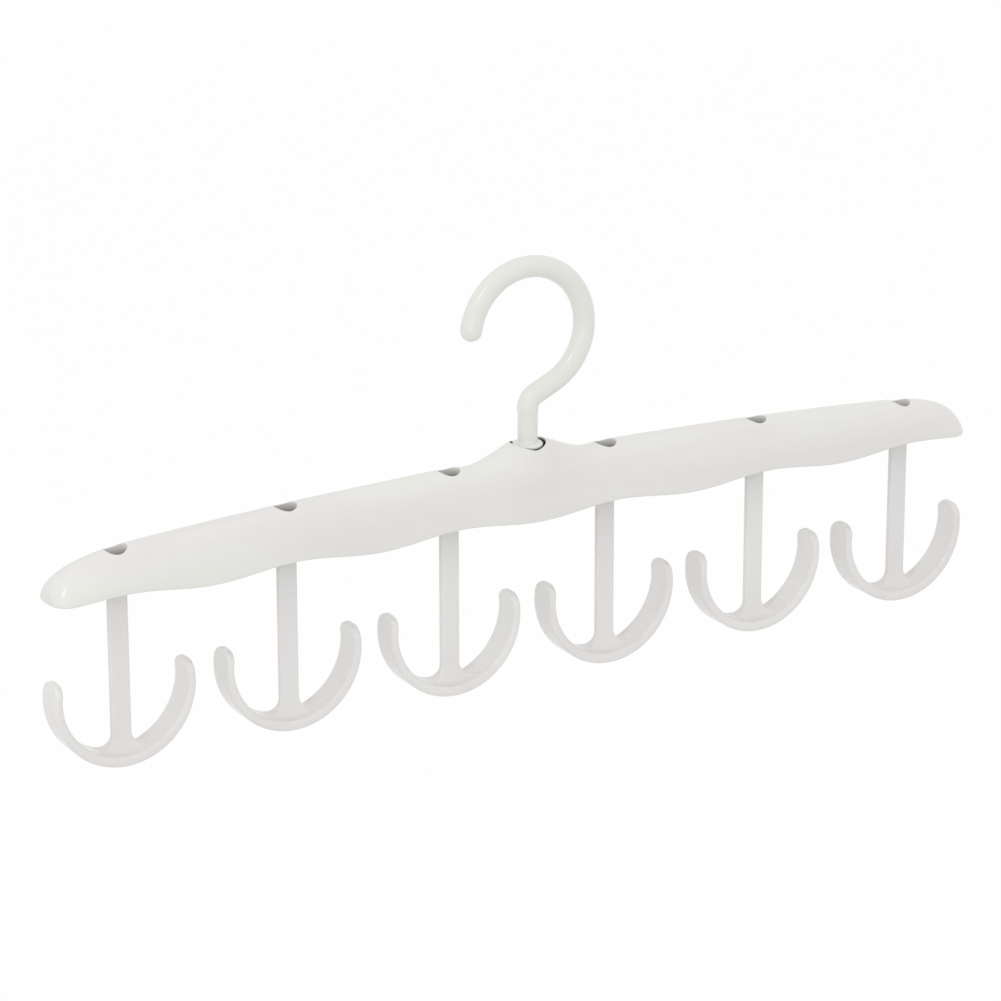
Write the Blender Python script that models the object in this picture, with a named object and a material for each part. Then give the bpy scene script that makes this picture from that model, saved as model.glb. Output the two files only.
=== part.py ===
# Multi-hook hanger: a bowed bar under a swivelling rail hook, with six double hooks turning below it.
# Metres, +Z up, +X along the bar and +Y to its back. The origin is where a rail bears in the hook.

import math

import bmesh
import bpy
from mathutils import Vector

# Clearances
gap = 0.0003                # between pieces that touch or turn in each other
overrun = 0.004             # how far a cutter runs past what it cuts

# Rail hook
ring_radius = 0.0251        # centre line of the ring
ring_lower_radius = 0.0242  # the ring tightens below its middle, on the side of the shank
ring_rod_radius = 0.00425
ring_leave_rod_radius = 0.00415  # the rod thins down towards the bend
ring_tip_angle = 171.5      # degrees from +X to the centre of the rounded tip
ring_leave_angle = 65.0     # degrees below +X where the ring runs out straight
bend_radius = 0.0056        # bend from the straight run into the shank
shank_radius = 0.00387
shank_taper = 0.0020        # the rod thins down to the shank over this length below the bend
shank_length = 0.01327      # from the bend to the collar's dome
collar_radius = 0.00595
collar_height = 0.0042
collar_dome = 0.0010
collar_sink = 0.0022        # the collar's edge lies this far below the hump's top
neck_radius = 0.0030
rail_cap_radius = 0.0070
rail_cap_height = 0.0034
rail_cap_roof = 0.0010      # what is left below the cap's blind bore

# Bar
hook_count = 6
hook_pitch = 0.070
end_overhang = 0.0288       # from the outer hooks to the bar's ends
bar_depth = 0.0216
bar_height = 0.0230         # ridge's line over the mean lower edge, at the middle
bar_fall = 0.0081           # how much lower the ridge's line is at the bar's ends
bar_wall = 0.0020
scallop = 0.0014            # the lower edge rises and falls by this much
hump_height = 0.0063
hump_flat = 0.0013          # half length of the hump's flat top
hump_half_length = 0.0265
hump_dip = 0.00064          # the ridge dips by this much at the hump's foot
hump_dip_end = 0.0336       # where the dip ends, from the middle
hump_shoulder = 0.0120      # where the hump's squarer section ends, from the middle
nose_top_length = 0.0366    # where the ridge starts to round down to the end
nose_side_length = 0.0104   # where the sides start to round in to the end
nose_power = 2.70           # roundness of the ends
section_power = 2.2         # roundness of the bar's section, 2 is an ellipse
hump_power = 3.1            # the same at the hump's top
end_power = 1.62            # the same at the bar's ends
end_round_length = 0.0636   # the section gets rounder over this length at each end

# Inside of the bar
socket_gap = 0.0010         # round the collar
socket_floor = 0.0027
socket_wall = 0.0018
rail_cap_room = 0.0010      # round the cap under the socket
bearing_rise = 0.0060       # underside of the bearings over the mean lower edge
bearing_floor = 0.0025
stem_hole_radius = 0.00435
boss_wall = 0.0016
rib_thickness = 0.0016

# Double hooks
strap_radius = 0.02865      # outer radius
strap_thickness = 0.0031
strap_middle_thickness = 0.0042  # at the lowest point, under the stem
strap_width = 0.0128
strap_edge = 0.0014         # rounding of the strap's edges
arm_rise = 0.0081           # arms over the middle of the half ring, tips included
arm_lean = 6.0              # degrees that the arms' ends lean in
tip_length = 0.0050         # rounded end of an arm
hook_drop = 0.0672          # lowest point of a hook under the bar's mean lower edge
stem_width = 0.0080
stem_thickness = 0.0024
stem_edge = 0.0008
flare_width = 0.0076        # radius of the flare towards the arms
flare_depth = 0.0032        # radius of the flare across the strap
peg_radius = 0.0026
peg_root = 0.0050           # length of the peg that stands on the stem's faces
peg_neck_radius = 0.0020

# Caps on the pegs
stem_cap_gap = 0.0006       # round a cap in its hole
stem_cap_height = 0.0030
stem_cap_roof = 0.0009      # what is left over the cap's blind bore
cap_edge_share = 0.25       # rounding of a cap's edge, of the cap's height

# Facets
rod_sides = 16
hole_sides = 20
section_steps = 14          # along the bar's outline from edge to edge
station_share = 1 / 10      # spacing of the bar's sections, of the hook pitch
nose_steps = 6
ring_steps = 10             # on each side of the ring's top
lower_ring_steps = 7
bend_steps = 5
dome_steps = 4
cap_edge_steps = 3
strap_steps = 16
tip_steps = 4
flare_steps = 5
smooth_angle = math.radians(35)

# Finish
white_colour = (0.776, 0.776, 0.737)
hook_colour = (0.757, 0.745, 0.723)
cap_colour = (0.68, 0.68, 0.66)
moulded_roughness = 0.35
rod_roughness = 0.32
cap_roughness = 0.45

# Levels, from the rail down
ring_middle_z = ring_rod_radius - ring_radius
leave_angle = math.radians(ring_leave_angle)
ring_lower_x = ring_radius - ring_lower_radius
leave_x = ring_lower_x + ring_lower_radius * math.cos(leave_angle)
leave_z = ring_middle_z - ring_lower_radius * math.sin(leave_angle)
corner_z = leave_z - leave_x / math.tan(leave_angle)
bend_reach = bend_radius * math.tan(leave_angle / 2)
shank_top_z = corner_z - bend_reach
dome_top_z = shank_top_z - shank_length
collar_top_z = dome_top_z - collar_dome
collar_bottom_z = collar_top_z - collar_height
socket_floor_z = collar_bottom_z - gap
socket_under_z = socket_floor_z - socket_floor
rail_cap_top_z = socket_under_z - gap
rim_z = collar_top_z + collar_sink
crown_z = rim_z - hump_height
edge_z = crown_z - bar_height
bearing_under_z = edge_z + bearing_rise
bearing_top_z = bearing_under_z + bearing_floor
stem_top_z = bearing_under_z - gap
stem_cap_z = bearing_top_z + gap
hook_bottom_z = edge_z - hook_drop
strap_middle_z = hook_bottom_z + strap_radius
strap_floor_z = hook_bottom_z + strap_middle_thickness

# Places along the bar
hook_span = hook_pitch * (hook_count - 1)
outer_hook_x = hook_span / 2
bar_half_length = outer_hook_x + end_overhang
hook_places = [hook_pitch * number - outer_hook_x for number in range(hook_count)]
rib_places = [x + hook_pitch / 2 for x in hook_places[:-1] if abs(x + hook_pitch / 2) > hump_half_length]

# Fits
socket_radius = collar_radius + socket_gap
socket_bore_radius = shank_radius + gap
socket_boss_radius = socket_radius + socket_wall
rail_cap_bore_radius = neck_radius + gap
rail_cap_bore_depth = rail_cap_height - rail_cap_roof
bearing_bore_radius = peg_radius + gap
boss_radius = stem_hole_radius + boss_wall
stem_cap_radius = stem_hole_radius - stem_cap_gap
stem_cap_bore_radius = peg_neck_radius + gap
stem_cap_bore_depth = stem_cap_height - stem_cap_roof


def clear_scene():
    for thing in list(bpy.data.objects):
        bpy.data.objects.remove(thing, do_unlink=True)


def make_material(name, colour, roughness):
    material = bpy.data.materials.new(name)
    material.use_nodes = True
    shader = material.node_tree.nodes["Principled BSDF"]
    shader.inputs["Base Color"].default_value = (*colour, 1.0)
    shader.inputs["Roughness"].default_value = roughness
    shader.inputs["Metallic"].default_value = 0.0
    return material


def finish_mesh(name, builder):
    """Turns a bmesh into a smooth mesh with its faces pointing out."""
    bmesh.ops.recalc_face_normals(builder, faces=builder.faces)
    mesh = bpy.data.meshes.new(name)
    builder.to_mesh(mesh)
    builder.free()
    mesh.shade_smooth()
    mesh.set_sharp_from_angle(angle=smooth_angle)
    return mesh


def add_object(name, mesh, material=None, place=(0, 0, 0)):
    thing = bpy.data.objects.new(name, mesh)
    thing.location = place
    bpy.context.collection.objects.link(thing)
    if material:
        mesh.materials.clear()
        mesh.materials.append(material)
    return thing


def make_helper(name, mesh):
    """An object that only cuts or joins others."""
    helper = add_object(name, mesh)
    helper.hide_render = True
    helper.display_type = "WIRE"
    return helper


def combine(target, other, operation):
    modifier = target.modifiers.new(other.name, "BOOLEAN")
    modifier.operation = operation
    modifier.solver = "EXACT"
    modifier.object = other


def add_loft(builder, rings):
    """Skins a row of rings with equal point counts and closes both ends; a ring of one point is a pole."""
    rows = [[builder.verts.new(point) for point in ring] for ring in rings]
    for near, far in zip(rows, rows[1:]):
        count = max(len(near), len(far))
        for index in range(count):
            following = (index + 1) % count
            corners = [near[index % len(near)], near[following % len(near)],
                       far[following % len(far)], far[index % len(far)]]
            builder.faces.new(list(dict.fromkeys(corners)))
    for row in (rows[0], rows[-1]):
        if len(row) > 1:
            builder.faces.new(row)


def circle_points(radius, sides):
    angles = [math.tau * step / sides for step in range(sides)]
    return [(radius * math.cos(angle), radius * math.sin(angle)) for angle in angles]


def add_turned(builder, profile, sides, x=0):
    """A solid turned about the upright line at x, from (radius, height) points, low to high."""
    rings = []
    for radius, height in profile:
        rings.append([Vector((x + across, along, height)) for across, along in circle_points(radius, sides)])
    add_loft(builder, rings)


def add_box(builder, low, high):
    corners = [(low[0], low[1]), (high[0], low[1]), (high[0], high[1]), (low[0], high[1])]
    add_loft(builder, [[Vector((x, y, z)) for x, y in corners] for z in (low[2], high[2])])


def rounded_rectangle(half_width, half_height, edge, steps=2):
    """Points round a rectangle about the origin, with rounded corners."""
    edge = min(edge, half_width, half_height)
    points = []
    for number in range(4):
        side = 1 if number in (0, 3) else -1
        level = 1 if number < 2 else -1
        for step in range(steps + 1):
            angle = math.pi / 2 * (number + step / steps)
            points.append((side * (half_width - edge) + edge * math.cos(angle),
                           level * (half_height - edge) + edge * math.sin(angle)))
    return points


def ease(share):
    """One at 0 and below, zero at 1 and above, smooth between."""
    return 0.5 + 0.5 * math.cos(math.pi * min(max(share, 0), 1))


# The bar


def lower_edge(x):
    """Height of the bar's lower edge: highest over each hook, lowest halfway between two."""
    away = abs(x)
    if away < outer_hook_x:
        return edge_z + scallop * math.cos(math.tau * (away - outer_hook_x) / hook_pitch)
    return edge_z + scallop * ease((away - outer_hook_x) / end_overhang)


def round_off(x, length, inset):
    """Falls from one to zero towards the bar's ends, as a rounded corner."""
    share = (abs(x) - bar_half_length + length) / (length - inset)
    return max(1 - max(share, 0) ** nose_power, 0) ** (1 / nose_power)


def hump_rise(x):
    """Height of the hump over the ridge's line, with the shallow dip at its foot."""
    hump = (hump_height + hump_dip) * ease((abs(x) - hump_flat) / (hump_half_length - hump_flat))
    return hump - hump_dip * ease((abs(x) - hump_half_length) / (hump_dip_end - hump_half_length))


def ridge(x, inset):
    """Height of the bar's top line, moved inwards by the inset."""
    line = crown_z - bar_fall * (x / bar_half_length) ** 2 - inset
    rounded = edge_z + (line - edge_z) * round_off(x, nose_top_length, inset)
    return rounded + hump_rise(x)


def bar_ring(x, inset, skirt=0):
    """The bar's outline at x, moved inwards by the inset, with its lower edge let down by the skirt."""
    half_depth = (bar_depth / 2 - inset) * round_off(x, nose_side_length, inset)
    low = lower_edge(x)
    rise = max(ridge(x, inset) - low, 0)
    squareness = ease((abs(x) - hump_flat) / (hump_shoulder - hump_flat))
    flatness = ease((abs(x) - bar_half_length + end_round_length) / end_round_length)
    power = end_power + (section_power - end_power) * flatness + (hump_power - section_power) * squareness
    points = []
    for step in range(section_steps + 1):
        angle = math.pi * step / section_steps
        across = -math.copysign(abs(math.cos(angle)) ** (2 / power), math.cos(angle))
        up = abs(math.sin(angle)) ** (2 / power) if 0 < step < section_steps else 0
        points.append(Vector((x, half_depth * across, low + rise * up)))
    if skirt:
        points.insert(0, Vector((x, -half_depth, low - skirt)))
        points.append(Vector((x, half_depth, low - skirt)))
    return points


def bar_stations(inset):
    """Places of the bar's sections: even along the hooks, finer at the hump, and closing in at the ends."""
    spacing = hook_pitch * station_share
    count = round(hook_span / spacing)
    places = [spacing * step - outer_hook_x for step in range(count + 1)]
    places += [x + spacing / 2 for x in places[:-1] if abs(x + spacing / 2) < hump_half_length]
    reach = end_overhang - inset
    for step in range(1, nose_steps + 1):
        x = outer_hook_x + reach * math.sin(math.pi * step / (2 * nose_steps + 1))
        places += [x, -x]
    return sorted(places)


def bar_body(name, inset, skirt=0):
    builder = bmesh.new()
    rings = [bar_ring(x, inset, skirt) for x in bar_stations(inset)]
    add_loft(builder, rings)
    return finish_mesh(name, builder)


def make_bar(material):
    bar = add_object("bar_shell", bar_body("bar_shell", 0), material)
    hollow = make_helper("bar_hollow", bar_body("bar_hollow", bar_wall, overrun))

    bosses = bmesh.new()
    top_z = rim_z + overrun
    for x in hook_places:
        add_turned(bosses, [(boss_radius, bearing_under_z), (boss_radius, top_z)], hole_sides, x)
    add_turned(bosses, [(socket_boss_radius, socket_under_z), (socket_boss_radius, top_z)], hole_sides)
    inside = make_helper("bar_bosses", finish_mesh("bar_bosses", bosses))

    spine = bmesh.new()
    half_rib = rib_thickness / 2
    add_box(spine, (-outer_hook_x, -half_rib, bearing_under_z), (outer_hook_x, half_rib, top_z))
    long_rib = make_helper("bar_spine", finish_mesh("bar_spine", spine))

    ribs = bmesh.new()
    for x in rib_places:
        add_box(ribs, (x - half_rib, -bar_depth, bearing_under_z), (x + half_rib, bar_depth, top_z))
    cross_ribs = make_helper("bar_ribs", finish_mesh("bar_ribs", ribs))

    core = make_helper("bar_core", bar_body("bar_core", bar_wall / 2, overrun))
    combine(inside, long_rib, "UNION")
    combine(inside, cross_ribs, "UNION")
    combine(inside, core, "INTERSECT")

    holes = bmesh.new()
    for x in hook_places:
        add_turned(holes, [(bearing_bore_radius, bearing_under_z - overrun), (bearing_bore_radius, bearing_top_z),
                           (stem_hole_radius, bearing_top_z), (stem_hole_radius, top_z)], hole_sides, x)
    cap_room_radius = rail_cap_radius + rail_cap_room
    add_turned(holes, [(cap_room_radius, edge_z), (cap_room_radius, socket_under_z),
                       (socket_bore_radius, socket_under_z), (socket_bore_radius, socket_floor_z),
                       (socket_radius, socket_floor_z), (socket_radius, top_z)], hole_sides)
    cuts = make_helper("bar_holes", finish_mesh("bar_holes", holes))

    combine(bar, hollow, "DIFFERENCE")
    combine(bar, inside, "UNION")
    combine(bar, cuts, "DIFFERENCE")
    return bar


# The rail hook


def hook_path():
    """Points down the rail hook as (x, z, heading, radius); the heading turns from +X towards +Z."""
    stops = []
    tip = math.radians(ring_tip_angle)
    tip_x = ring_radius * math.cos(tip)
    tip_z = ring_middle_z + ring_radius * math.sin(tip)
    heading = tip - math.pi / 2
    for step in range(tip_steps):
        angle = math.pi / 2 * step / tip_steps
        back = ring_rod_radius * math.cos(angle)
        stops.append((tip_x - back * math.cos(heading), tip_z - back * math.sin(heading), heading,
                      ring_rod_radius * math.sin(angle)))
    for start, end in ((tip, math.pi / 2), (math.pi / 2, 0)):
        for step in range(ring_steps):
            angle = start + (end - start) * step / ring_steps
            stops.append((ring_radius * math.cos(angle), ring_middle_z + ring_radius * math.sin(angle),
                          angle - math.pi / 2, ring_rod_radius))
    for step in range(lower_ring_steps + 1):
        angle = -leave_angle * step / lower_ring_steps
        radius = ring_rod_radius + (ring_leave_rod_radius - ring_rod_radius) * step / lower_ring_steps
        stops.append((ring_lower_x + ring_lower_radius * math.cos(angle),
                      ring_middle_z + ring_lower_radius * math.sin(angle), angle - math.pi / 2, radius))
    for step in range(bend_steps + 1):
        angle = leave_angle * (1 - step / bend_steps)
        stops.append((bend_radius * (1 - math.cos(angle)), shank_top_z + bend_radius * math.sin(angle),
                      -angle - math.pi / 2, ring_leave_rod_radius))
    return stops


def make_rail_hook(material):
    rings = []
    for x, z, heading, radius in hook_path():
        across = Vector((-math.sin(heading), 0, math.cos(heading)))
        middle = Vector((x, 0, z))
        if radius:
            rings.append([middle + across * side + Vector((0, depth, 0))
                          for side, depth in circle_points(radius, rod_sides)])
        else:
            rings.append([middle])
    profile = [(shank_radius, shank_top_z - shank_taper)]
    for step in range(dome_steps + 1):
        angle = math.pi / 2 * step / dome_steps
        profile.append((shank_radius + (collar_radius - shank_radius) * math.sin(angle),
                        collar_top_z + collar_dome * math.cos(angle)))
    neck_end_z = rail_cap_top_z - rail_cap_bore_depth + gap
    profile += [(collar_radius, collar_bottom_z), (shank_radius, collar_bottom_z),
                (shank_radius, socket_under_z), (neck_radius, socket_under_z), (neck_radius, neck_end_z)]
    for radius, z in profile:
        rings.append([Vector((side, depth, z)) for side, depth in circle_points(radius, rod_sides)])
    builder = bmesh.new()
    add_loft(builder, rings)
    return add_object("rail_hook", finish_mesh("rail_hook", builder), material)


# Retaining caps


def cap_mesh(name, radius, height, bore_radius, bore_depth, sides):
    """A round cap that stands on its open end at zero, with a blind bore and a rounded upper edge."""
    edge = height * cap_edge_share
    profile = [(bore_radius, bore_depth), (bore_radius, 0), (radius, 0)]
    for step in range(cap_edge_steps + 1):
        angle = math.pi / 2 * step / cap_edge_steps
        profile.append((radius - edge + edge * math.cos(angle), height - edge + edge * math.sin(angle)))
    builder = bmesh.new()
    add_turned(builder, profile, sides)
    return finish_mesh(name, builder)


def make_rail_cap(material):
    mesh = cap_mesh("rail_hook_cap", rail_cap_radius, rail_cap_height, rail_cap_bore_radius,
                    rail_cap_bore_depth, hole_sides)
    cap = add_object("rail_hook_cap", mesh, material, (0, 0, rail_cap_top_z))
    cap.rotation_euler = (math.pi, 0, 0)
    return cap


def make_stem_caps(material):
    mesh = cap_mesh("stem_cap", stem_cap_radius, stem_cap_height, stem_cap_bore_radius,
                    stem_cap_bore_depth, rod_sides)
    for number, x in enumerate(hook_places, 1):
        add_object(f"stem_cap_{number}", mesh, material, (x, 0, stem_cap_z))


# The double hooks


def strap_ring(middle, outward, half_width, half_thickness):
    edge = strap_edge * half_thickness / (strap_thickness / 2)
    return [middle + outward * out + Vector((0, along, 0))
            for out, along in rounded_rectangle(half_thickness, half_width, edge)]


def strap_arm():
    """Rings of the right arm, from its tip down to where the half ring goes on."""
    reach = strap_radius - strap_thickness / 2
    half_thickness = strap_thickness / 2
    lean = math.radians(arm_lean)
    outward = Vector((math.cos(lean), 0, math.sin(lean)))
    along = Vector((-math.sin(lean), 0, math.cos(lean)))
    root = outward * reach + Vector((0, 0, strap_middle_z))
    length = (arm_rise - reach * math.sin(lean)) / math.cos(lean)
    rings = [[root + along * length]]
    for step in range(1, tip_steps + 1):
        angle = math.pi / 2 * step / tip_steps
        down = tip_length * (1 - math.cos(angle))
        thin = min(down / half_thickness, 1)
        rings.append(strap_ring(root + along * (length - down), outward, strap_width / 2 * math.sin(angle),
                                half_thickness * math.sqrt(thin * (2 - thin))))
    return rings


def strap_mesh():
    """The strap: its right arm, the half ring and the left arm, which mirrors the right one."""
    lean = math.radians(arm_lean)
    right = strap_arm()
    half_ring = []
    for step in range(strap_steps + 1):
        angle = lean - (math.pi + 2 * lean) * step / strap_steps
        outward = Vector((math.cos(angle), 0, math.sin(angle)))
        thickness = strap_thickness + (strap_middle_thickness - strap_thickness) * max(-math.sin(angle), 0)
        middle = outward * (strap_radius - thickness / 2) + Vector((0, 0, strap_middle_z))
        half_ring.append(strap_ring(middle, outward, strap_width / 2, thickness / 2))
    left = [[Vector((-point.x, point.y, point.z)) for point in ring] for ring in reversed(right)]
    builder = bmesh.new()
    add_loft(builder, right + half_ring + left)
    return finish_mesh("double_hook", builder)


def stem_mesh():
    """The flat stem: it flares at its foot, and its lowest ring is sunk in the strap."""
    rings = []
    foot_z = (hook_bottom_z + strap_floor_z) / 2
    rings.append([Vector((side, along, foot_z)) for side, along in
                  rounded_rectangle(stem_width / 2 + flare_width / 2, stem_thickness / 2 + flare_depth / 2,
                                    stem_edge)])
    for step in range(flare_steps + 1):
        angle = math.pi / 2 * step / flare_steps
        spread = 1 - math.sin(angle)
        height = strap_floor_z + flare_width * (1 - math.cos(angle))
        half_width = stem_width / 2 + flare_width * spread
        half_depth = stem_thickness / 2 + flare_depth * spread
        edge = stem_edge + flare_depth * spread / 2
        rings.append([Vector((side, along, height))
                      for side, along in rounded_rectangle(half_width, half_depth, edge)])
    rings.append([Vector((side, along, stem_top_z))
                  for side, along in rounded_rectangle(stem_width / 2, stem_thickness / 2, stem_edge)])
    builder = bmesh.new()
    add_loft(builder, rings)
    return finish_mesh("double_hook_stem", builder)


def peg_mesh():
    neck_end_z = stem_cap_z + stem_cap_bore_depth - gap
    builder = bmesh.new()
    add_turned(builder, [(peg_radius, stem_top_z - peg_root), (peg_radius, bearing_top_z),
                         (peg_neck_radius, bearing_top_z), (peg_neck_radius, neck_end_z)], rod_sides)
    return finish_mesh("double_hook_peg", builder)


def make_double_hooks(material):
    strap = strap_mesh()
    additions = [stem_mesh(), peg_mesh()]
    for number, x in enumerate(hook_places, 1):
        hook = add_object(f"double_hook_{number}", strap, material, (x, 0, 0))
        for mesh in additions:
            helper = make_helper(f"{mesh.name}_{number}", mesh)
            helper.location = (x, 0, 0)
            combine(hook, helper, "UNION")


def main():
    clear_scene()
    bar_plastic = make_material("bar_plastic", white_colour, moulded_roughness)
    rail_hook_plastic = make_material("rail_hook_plastic", white_colour, rod_roughness)
    double_hook_plastic = make_material("double_hook_plastic", hook_colour, moulded_roughness)
    cap_plastic = make_material("cap_plastic", cap_colour, cap_roughness)
    make_bar(bar_plastic)
    make_rail_hook(rail_hook_plastic)
    make_rail_cap(cap_plastic)
    make_stem_caps(cap_plastic)
    make_double_hooks(double_hook_plastic)


main()
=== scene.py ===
import math

import bmesh
import bpy
import numpy as np
from mathutils import Euler, Matrix, Vector


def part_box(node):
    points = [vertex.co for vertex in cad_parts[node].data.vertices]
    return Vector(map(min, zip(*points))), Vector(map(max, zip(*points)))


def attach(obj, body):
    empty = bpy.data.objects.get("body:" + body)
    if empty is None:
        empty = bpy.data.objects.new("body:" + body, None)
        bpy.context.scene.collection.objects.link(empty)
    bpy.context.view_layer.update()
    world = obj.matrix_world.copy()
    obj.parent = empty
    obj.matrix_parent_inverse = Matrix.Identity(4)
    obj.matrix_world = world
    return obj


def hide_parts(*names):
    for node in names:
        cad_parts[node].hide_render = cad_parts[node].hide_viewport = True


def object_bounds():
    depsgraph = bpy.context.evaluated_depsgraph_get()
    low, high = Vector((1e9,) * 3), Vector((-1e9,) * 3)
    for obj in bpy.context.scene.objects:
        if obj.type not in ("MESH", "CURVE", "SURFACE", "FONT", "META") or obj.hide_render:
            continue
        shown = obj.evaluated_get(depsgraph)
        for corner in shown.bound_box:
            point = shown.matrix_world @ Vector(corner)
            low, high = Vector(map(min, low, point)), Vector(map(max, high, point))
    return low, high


# Looks of the multi-hook hanger: every piece is a fine numpy surface in the place of its CAD node.
# Metres, in the frame of the CAD: X along the bar, Y to its back, Z up, the origin where a rail bears.

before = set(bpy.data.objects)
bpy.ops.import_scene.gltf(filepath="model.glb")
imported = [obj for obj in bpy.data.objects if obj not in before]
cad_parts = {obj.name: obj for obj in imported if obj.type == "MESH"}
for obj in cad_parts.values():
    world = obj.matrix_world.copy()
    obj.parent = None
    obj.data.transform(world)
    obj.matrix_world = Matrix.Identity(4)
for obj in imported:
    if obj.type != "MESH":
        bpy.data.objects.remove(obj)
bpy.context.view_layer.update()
print("frame loaded")

quarterTurn = math.pi / 2
fullTurn = 2 * math.pi
gap = 0.0003    # between pieces that turn in each other


def addObject(name, data):
    # puts a mesh, lamp or camera into the scene
    made = bpy.data.objects.new(name, data)
    bpy.context.scene.collection.objects.link(made)
    return made


# Camera

camera = {
    "place": (-0.8029, -1.3248, 0.43169), "turn": 30.834, "down": 18.570, "roll": -0.05,    # degrees
    "focal": 4257.06, "frame": 1001, "sensor": 36.0,    # focal length and frame in pixels, sensor in mm
}


def makeCamera():
    # lens = sensor width * focal length in pixels / frame in pixels; looks along the turn, tipped down
    data = bpy.data.cameras.new("camera")
    data.sensor_width = camera["sensor"]
    data.lens = camera["sensor"] * camera["focal"] / camera["frame"]
    holder = addObject("camera", data)
    holder.location = camera["place"]
    aim = Euler((quarterTurn - math.radians(camera["down"]), 0, -math.radians(camera["turn"]))).to_matrix()
    holder.rotation_euler = (aim @ Matrix.Rotation(math.radians(camera["roll"]), 3, "Z")).to_euler()
    bpy.context.scene.camera = holder
    bpy.context.scene.view_settings.view_transform = "Standard"
    print("camera set")


# Small mesh tools

meshTools = {
    "weld": 2e-6, "sharpAngle": 40,
    "shortestSquare": 1e-12, "shortest": 1e-9,    # keep divisions safe where an edge has no length
}


def gridFaces(rows, columns, start, wrap, keep):
    # quads between neighbouring rows and columns of a grid whose points are numbered row by row
    across = columns if wrap else columns - 1
    row, column = np.meshgrid(np.arange(rows - 1), np.arange(across), indexing="ij")
    following = (column + 1) % columns
    quads = np.stack([row * columns + column, row * columns + following,
                      (row + 1) * columns + following, (row + 1) * columns + column], axis=-1)
    if keep is not None:
        quads = quads[keep]
    return quads.reshape(-1, 4) + start


def buildPiece(name, grids):
    # welds grids of points, each (array rows x columns x 3, wrap, keep), into one closed mesh
    points, faces, start = [], [], 0
    for grid, wrap, keep in grids:
        points.append(grid.reshape(-1, 3))
        faces.append(gridFaces(grid.shape[0], grid.shape[1], start, wrap, keep))
        start += grid.shape[0] * grid.shape[1]
    mesh = bpy.data.meshes.new(name)
    mesh.from_pydata(np.concatenate(points).tolist(), [], np.concatenate(faces).tolist())
    work = bmesh.new()
    work.from_mesh(mesh)
    bmesh.ops.remove_doubles(work, verts=work.verts, dist=meshTools["weld"])
    bmesh.ops.dissolve_degenerate(work, edges=work.edges, dist=meshTools["weld"])
    bmesh.ops.recalc_face_normals(work, faces=work.faces)
    openEdges = sum(1 for edge in work.edges if not edge.is_manifold)
    work.to_mesh(mesh)
    work.free()
    mesh.shade_smooth()
    mesh.set_sharp_from_angle(angle=math.radians(meshTools["sharpAngle"]))
    print(name, len(mesh.vertices), "points,", openEdges, "open edges")
    return addObject(name, mesh)


def readRows(items, field, width, kind=float):
    # one row of width values for each point or edge of a mesh
    values = np.empty(len(items) * width, kind)
    items.foreach_get(field, values)
    return values.reshape(-1, width)


def storeValues(mesh, name, values):
    # one value for each point, under a name that the materials read
    attribute = mesh.attributes.new(name, "FLOAT", "POINT")
    attribute.data.foreach_set("value", values.astype(np.float32))


def markEdges(piece):
    # stores how sharply the surface turns outwards at each point, in 1/m: the mean over its edges of
    # (change of normal along the edge) / length squared
    mesh = piece.data
    count = len(mesh.vertices)
    place, normal = readRows(mesh.vertices, "co", 3), readRows(mesh.vertex_normals, "vector", 3)
    ends = readRows(mesh.edges, "vertices", 2, int)
    along = place[ends[:, 1]] - place[ends[:, 0]]
    change = ((normal[ends[:, 1]] - normal[ends[:, 0]]) * along).sum(1)
    turn = change / np.maximum((along ** 2).sum(1), meshTools["shortestSquare"])
    total = np.bincount(ends.ravel(), np.repeat(turn, 2), count)
    storeValues(mesh, "edgeTurn", total / np.maximum(np.bincount(ends.ravel(), minlength=count), 1))


def markPaintedShadeDepth(piece, depthOf):
    # stores how deep each point lies in a hole or gap, in metres, for the painted shade there: depthOf turns
    # points into depths
    storeValues(piece.data, "paintedShadeDepth", depthOf(readRows(piece.data.vertices, "co", 3)))


def ease(share):
    # one at 0 and below, zero at 1 and above, a half cosine between
    return 0.5 + 0.5 * np.cos(math.pi * np.clip(share, 0, 1))


def easeAway(x, start, end):
    # one from the middle out to start, zero from end on, a half cosine between
    return ease((np.abs(x) - start) / (end - start))


def evenShares(steps):
    # even shares of one: 1/steps, 2/steps, up to one
    return np.arange(1, steps + 1) / steps


def circleRing(radius, height, angles, x=0.0):
    # points of a level circle about the upright line at x: (x + radius cos, radius sin, height)
    height = np.broadcast_to(height, angles.shape)
    return np.stack([x + radius * np.cos(angles), radius * np.sin(angles), height], axis=-1)


def turnedGrid(profile, angles, x=0.0):
    # a profile of (radius, height) pairs carried round the upright line at x
    return np.stack([circleRing(radius, height, angles, x) for radius, height in profile])


def levelRings(low, high, steps):
    # rings between two rings, evenly spaced, without the first
    return low + (high - low) * evenShares(steps)[:, None, None]


# The rail hook: a rod carried along its path, then the collar and the neck

railHook = {
    "ringRadius": 0.0251, "lowerRadius": 0.0242, "rodRadius": 0.00425, "leaveRodRadius": 0.00415,
    "tipAngle": 171.5, "leaveAngle": 65.0, "bendRadius": 0.0056,    # angles in degrees
    "shankRadius": 0.00387, "shankTaper": 0.0020, "shankLength": 0.01327,
    "collarRadius": 0.00595, "collarHeight": 0.0042, "collarDome": 0.0010, "collarFillet": 0.0005,
    "neckRadius": 0.0030, "bevel": 0.0003, "partingHeight": 0.00004, "partingWidth": 0.00025,
    "roundSteps": 96, "tipSteps": 12, "ringPoints": 120, "lowerPoints": 44, "straightPoints": 10,
    "bendPoints": 24, "taperSteps": 8, "shankSteps": 10, "filletSteps": 5, "domeSteps": 14, "collarSteps": 4,
    # painted shade on the collar's side inside the socket begins from these
    "paintedShadeReach": 0.00035, "paintedShadeStart": 0.0001,    # where the collar's side counts as inside the socket
}
# painted shade: a factor on the depth that darkens the colour in the gap
socketShade = 6.0    # the narrow gap round the collar darkens this many times sooner than the wide holes

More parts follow.
